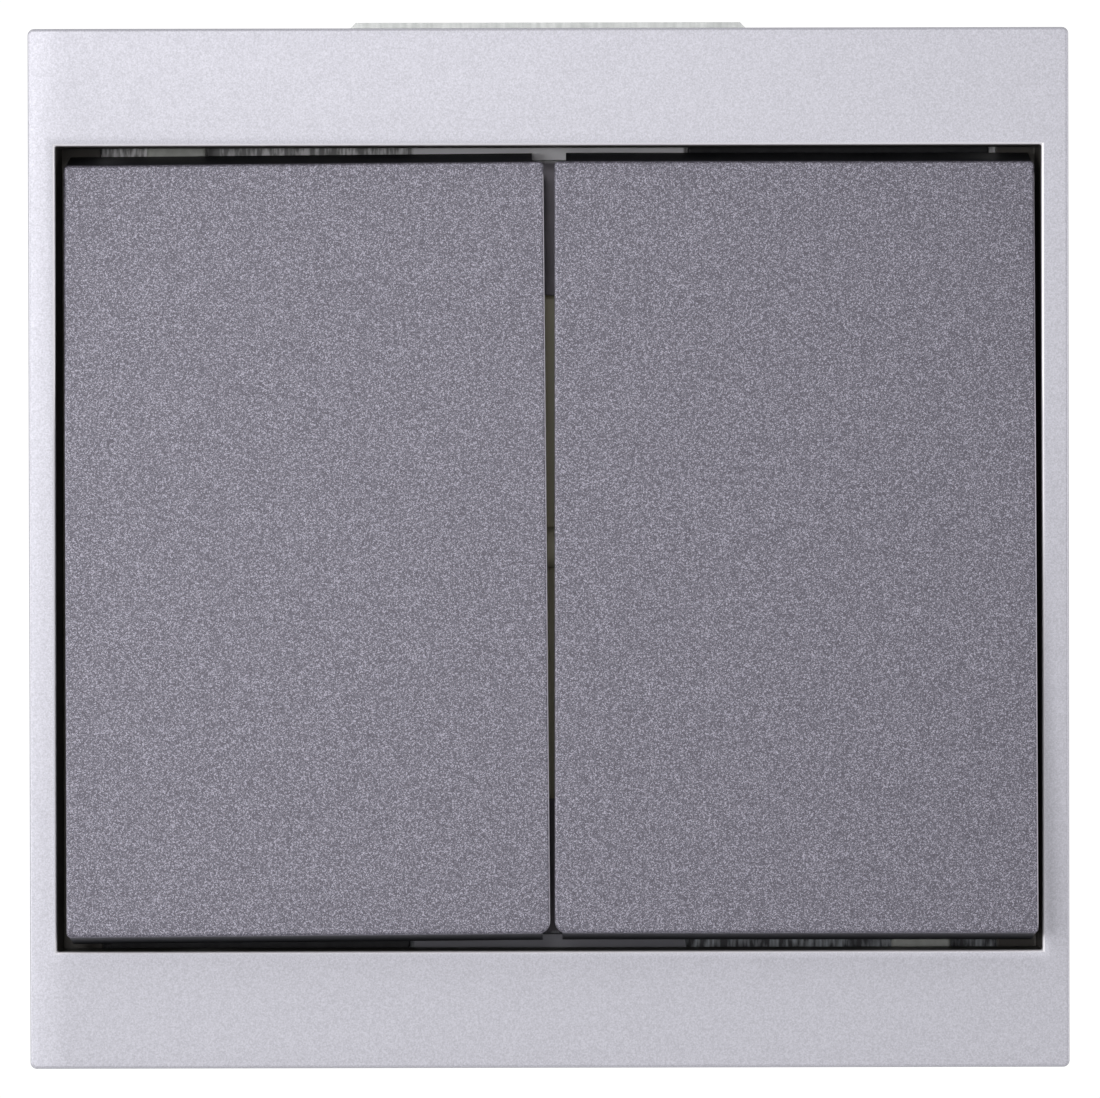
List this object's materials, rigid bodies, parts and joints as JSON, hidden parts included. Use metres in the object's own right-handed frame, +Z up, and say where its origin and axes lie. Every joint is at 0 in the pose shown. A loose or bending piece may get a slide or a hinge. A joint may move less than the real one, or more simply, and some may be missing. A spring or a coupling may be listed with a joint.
{
  "type": "flush-mounted rocker wall switch",
  "caption": "Square flush-mounted wall switch with a silver cover frame, side-by-side anthracite rockers, a steel support strap and an insert that stands in the wall box.",
  "frame": {"origin": "centre of the wall box mouth: the wall surface behind the support strap, midway between the box screw slots", "axes": "+Z up the wall, +X to the right as the user faces the switch, +Y into the wall, so the rockers face -Y"},
  "size_m": [0.08, 0.0359, 0.081],
  "materials": {
    "silver_lacquer": "pale silver metallic lacquer on moulded plastic, satin",
    "anthracite_lacquer": "anthracite metallic lacquer with fine flake on moulded plastic, satin",
    "galvanised_steel": "zinc-coated pressed sheet, fine rolling lines",
    "cream_plastic": "cream moulded thermoset, matt",
    "white_plastic": "natural white nylon",
    "copper": "copper alloy strip",
    "silver_contact": "silver alloy contact button",
    "brass": "punched brass strip",
    "grey_plastic": "grey moulded plastic",
    "black_plastic": "black moulded plastic",
    "spring_steel": "bright stainless spring strip and wire",
    "zinc_plated_steel": "bright zinc-plated steel"
  },
  "bodies": {
    "insert": {"support_strap": "galvanised_steel", "guide_stud_top": "grey_plastic", "guide_stud_bottom": "grey_plastic", "guide_rail_top": "black_plastic", "guide_rail_bottom": "black_plastic", "switch_base": "cream_plastic", "mechanism_cover": "cream_plastic", "pivot_pin": "zinc_plated_steel", "cover_frame": "silver_lacquer", "strap_rivet_upper_left": "zinc_plated_steel", "strap_rivet_upper_right": "zinc_plated_steel", "strap_rivet_lower_left": "zinc_plated_steel", "strap_rivet_lower_right": "zinc_plated_steel", "fixed_contact_left": "brass", "fixed_contact_right": "brass", "common_bar": "brass", "terminal_leaf_left": "spring_steel", "terminal_leaf_right": "spring_steel", "terminal_leaf_common": "spring_steel"},
    "rocker_left": {"rocker_left": "anthracite_lacquer", "carrier_left": "white_plastic", "plunger_left": "white_plastic", "toggle_spring_left": "spring_steel"},
    "blade_left": {"contact_blade_left": "copper", "contact_rivet_left": "silver_contact"},
    "screw_left": {"claw_screw_left": "zinc_plated_steel"},
    "nut_left": {"claw_nut_left": "zinc_plated_steel"},
    "claw_left": {"claw_left": "zinc_plated_steel"},
    "rocker_right": {"rocker_right": "anthracite_lacquer", "carrier_right": "white_plastic", "plunger_right": "white_plastic", "toggle_spring_right": "spring_steel"},
    "blade_right": {"contact_blade_right": "copper", "contact_rivet_right": "silver_contact"},
    "screw_right": {"claw_screw_right": "zinc_plated_steel"},
    "nut_right": {"claw_nut_right": "zinc_plated_steel"},
    "claw_right": {"claw_right": "zinc_plated_steel"},
    "button_left": {"release_button_left": "grey_plastic"},
    "button_right": {"release_button_right": "grey_plastic"},
    "button_common": {"release_button_common": "grey_plastic"}
  },
  "joints": [
    {"name": "rocker_left_rock", "type": "hinge", "parent": "insert", "child": "rocker_left", "pos_m": [-0.01, -0.0036, 0], "axis": [1, 0, 0], "range_deg": [0, 9]},
    {"name": "blade_left_rock", "type": "hinge", "parent": "insert", "child": "blade_left", "pos_m": [-0.01, 0.0084, 0], "axis": [1, 0, 0], "range_deg": [-12, 0]},
    {"name": "claw_screw_left_turn", "type": "hinge", "parent": "insert", "child": "screw_left", "pos_m": [-0.0236, 0, 0], "axis": [0, 1, 0], "range_deg": [0, 1801]},
    {"name": "claw_nut_left_slide", "type": "slide", "parent": "insert", "child": "nut_left", "axis": [0, -1, 0], "range_m": [0, 0.0035]},
    {"name": "claw_left_swing", "type": "hinge", "parent": "insert", "child": "claw_left", "pos_m": [-0.027, 0.0014, 0], "axis": [0, 0, 1], "range_deg": [0, 25.2]},
    {"name": "rocker_right_rock", "type": "hinge", "parent": "insert", "child": "rocker_right", "pos_m": [0.01, -0.0036, 0], "axis": [1, 0, 0], "range_deg": [0, 9]},
    {"name": "blade_right_rock", "type": "hinge", "parent": "insert", "child": "blade_right", "pos_m": [0.01, 0.0084, 0], "axis": [1, 0, 0], "range_deg": [-12, 0]},
    {"name": "claw_screw_right_turn", "type": "hinge", "parent": "insert", "child": "screw_right", "pos_m": [0.0236, 0, 0], "axis": [0, 1, 0], "range_deg": [0, 1801]},
    {"name": "claw_nut_right_slide", "type": "slide", "parent": "insert", "child": "nut_right", "axis": [0, -1, 0], "range_m": [0, 0.0035]},
    {"name": "claw_right_swing", "type": "hinge", "parent": "insert", "child": "claw_right", "pos_m": [0.027, 0.0014, 0], "axis": [0, 0, -1], "range_deg": [0, 25.2]},
    {"name": "release_button_left_press", "type": "slide", "parent": "insert", "child": "button_left", "axis": [0, -1, 0], "range_m": [0, 0.0011], "stiffness_N_per_m": 400},
    {"name": "release_button_right_press", "type": "slide", "parent": "insert", "child": "button_right", "axis": [0, -1, 0], "range_m": [0, 0.0011], "stiffness_N_per_m": 400},
    {"name": "release_button_common_press", "type": "slide", "parent": "insert", "child": "button_common", "axis": [0, -1, 0], "range_m": [0, 0.0011], "stiffness_N_per_m": 400}
  ],
  "couplings": [
    {"joint": "blade_left_rock", "follows": "rocker_left_rock", "ratio": -1.3333},
    {"joint": "claw_screw_left_turn", "follows": "claw_nut_left_slide", "rad_per_m": 8976},
    {"joint": "claw_left_swing", "follows": "claw_nut_left_slide", "rad_per_m": 124.67},
    {"joint": "blade_right_rock", "follows": "rocker_right_rock", "ratio": -1.3333},
    {"joint": "claw_screw_right_turn", "follows": "claw_nut_right_slide", "rad_per_m": 8976},
    {"joint": "claw_right_swing", "follows": "claw_nut_right_slide", "rad_per_m": 124.67}
  ]
}
